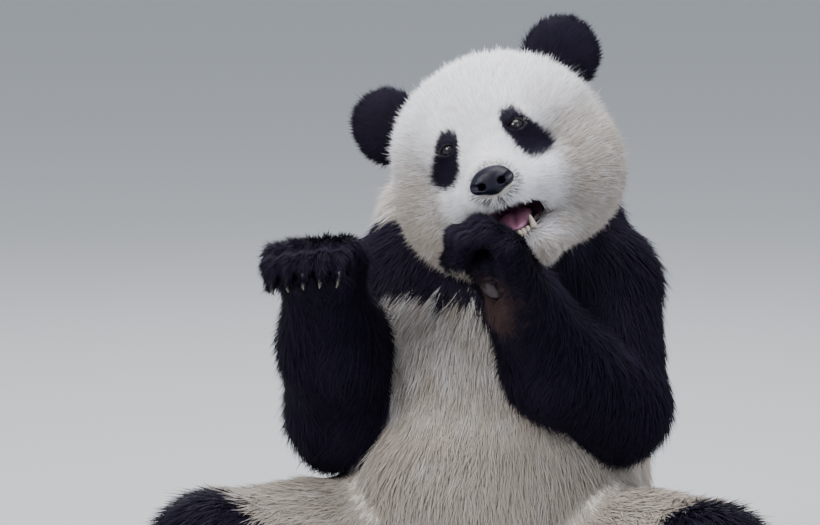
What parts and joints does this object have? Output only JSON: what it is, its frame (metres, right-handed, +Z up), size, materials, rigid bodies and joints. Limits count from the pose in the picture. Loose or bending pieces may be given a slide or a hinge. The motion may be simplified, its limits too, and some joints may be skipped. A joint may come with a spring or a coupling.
{
  "type": "giant panda model",
  "caption": "Life-size still model of a giant panda sitting upright with one forepaw raised to its open mouth and the other held out.",
  "frame": {"origin": "on the floor under the pelvis, on the flat the rump rests on", "axes": "+Z up, -Y the way the chest and the hind feet face, +X towards the animal's left"},
  "size_m": [0.8508, 0.8871, 0.8956],
  "materials": {
    "white_coat": "matt, thick pale fur",
    "black_coat": "soft dark fur with a faint bluish sheen",
    "nose_leather": "moist, shiny dark skin and eyes",
    "claw_horn": "smooth translucent horn",
    "tongue_pink": "wet pink flesh"
  },
  "bodies": {
    "root": {"trunk": "white_coat", "shoulders": "black_coat", "neck": "white_coat", "head": "white_coat", "jaw": "white_coat", "tongue": "tongue_pink", "nose": "nose_leather", "eye_left": "nose_leather", "eye_right": "nose_leather", "ear_left": "black_coat", "ear_right": "black_coat", "tail": "white_coat", "upper_arm_left": "black_coat", "forearm_left": "black_coat", "forepaw_left": "black_coat", "thigh_left": "white_coat", "shank_left": "black_coat", "hindpaw_left": "black_coat", "claw_fore_left_1": "claw_horn", "claw_hind_left_1": "claw_horn", "claw_fore_left_2": "claw_horn", "claw_hind_left_2": "claw_horn", "claw_fore_left_3": "claw_horn", "claw_hind_left_3": "claw_horn", "claw_fore_left_4": "claw_horn", "claw_hind_left_4": "claw_horn", "claw_fore_left_5": "claw_horn", "claw_hind_left_5": "claw_horn", "upper_arm_right": "black_coat", "forearm_right": "black_coat", "forepaw_right": "black_coat", "thigh_right": "white_coat", "shank_right": "black_coat", "hindpaw_right": "black_coat", "claw_fore_right_1": "claw_horn", "claw_hind_right_1": "claw_horn", "claw_fore_right_2": "claw_horn", "claw_hind_right_2": "claw_horn", "claw_fore_right_3": "claw_horn", "claw_hind_right_3": "claw_horn", "claw_fore_right_4": "claw_horn", "claw_hind_right_4": "claw_horn", "claw_fore_right_5": "claw_horn", "claw_hind_right_5": "claw_horn"}
  },
  "joints": []
}
